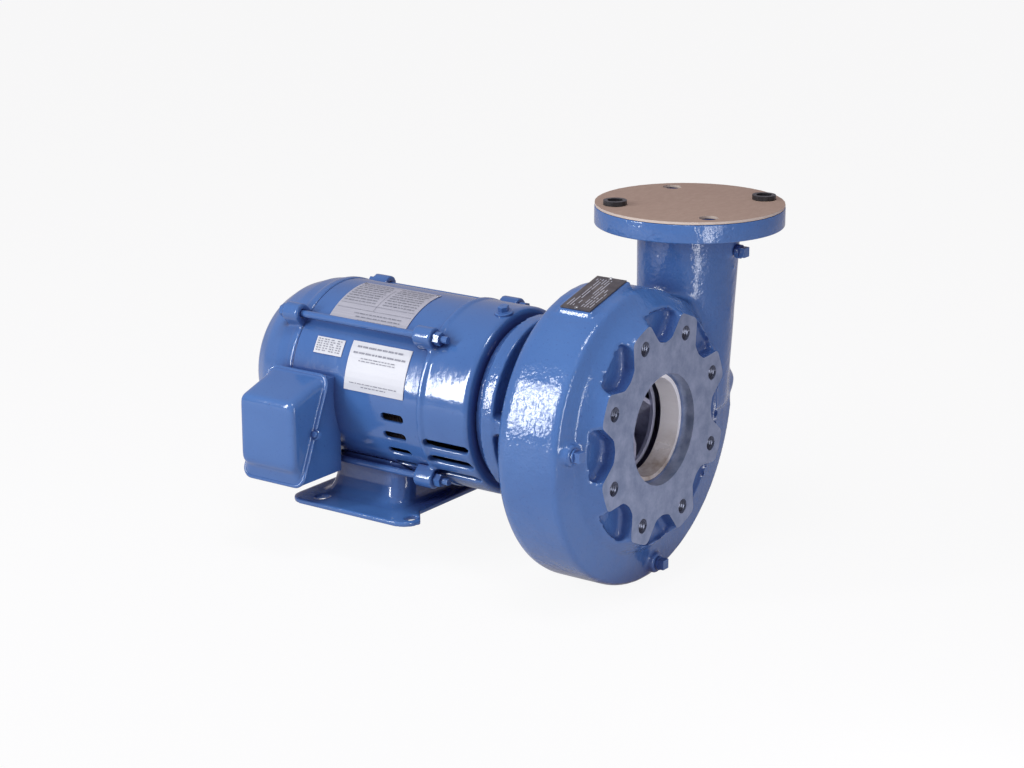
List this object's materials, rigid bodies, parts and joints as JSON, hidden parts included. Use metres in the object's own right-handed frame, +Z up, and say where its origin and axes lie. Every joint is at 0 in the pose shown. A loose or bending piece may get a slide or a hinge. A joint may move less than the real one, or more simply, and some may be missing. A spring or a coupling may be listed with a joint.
{
  "type": "centrifugal pump",
  "caption": "Close-coupled end-suction centrifugal pump: volute casing with star suction flange and upright discharge neck, on a foot-mounted open drip-proof motor.",
  "frame": {"origin": "on the underside of the motor's base, on the lip at its pump end, straight below the shaft", "axes": "+X along the shaft and out of the suction flange, +Z up, -Y the side of the terminal box"},
  "size_m": [0.5021, 0.3908, 0.3583],
  "materials": {
    "blue enamel": "glossy enamel over castings and sheet steel",
    "black plastic": "moulded",
    "cardboard": "plain board",
    "turned bronze": "turned bright",
    "cast bronze": "as cast, dark",
    "ground steel": "ground",
    "black rubber": "matt",
    "winding varnish": "dark varnish over copper windings",
    "plate metal": "brushed plate",
    "dark plate": "etched dark plate",
    "white film": "printed film, left blank"
  },
  "bodies": {
    "pump_and_motor": {"volute_casing": "blue enamel", "pump_nameplate": "dark plate", "wear_ring": "turned bronze", "gauge_plug": "blue enamel", "vent_plug": "blue enamel", "drain_plug": "blue enamel", "discharge_cover": "cardboard", "cover_bolt_near": "black plastic", "cover_bolt_far": "black plastic", "adapter": "blue enamel", "drive_end_bracket": "blue enamel", "stator_frame": "blue enamel", "rear_end_bracket": "blue enamel", "through_bolt_1": "blue enamel", "through_bolt_2": "blue enamel", "through_bolt_3": "blue enamel", "through_bolt_4": "blue enamel", "stator_core": "ground steel", "windings": "winding varnish", "motor_base": "blue enamel", "terminal_box_base": "blue enamel", "terminal_box_cover": "blue enamel", "motor_nameplate": "plate metal", "rating_label": "white film", "square_label": "white film"},
    "rotating_set": {"impeller": "cast bronze", "pump_shaft": "ground steel", "slinger": "black rubber", "motor_rotor": "ground steel"}
  },
  "joints": [
    {"name": "shaft_spin", "type": "hinge", "parent": "pump_and_motor", "child": "rotating_set", "pos_m": [0.186, 0, 0.1143], "axis": [1, 0, 0], "continuous": true}
  ]
}
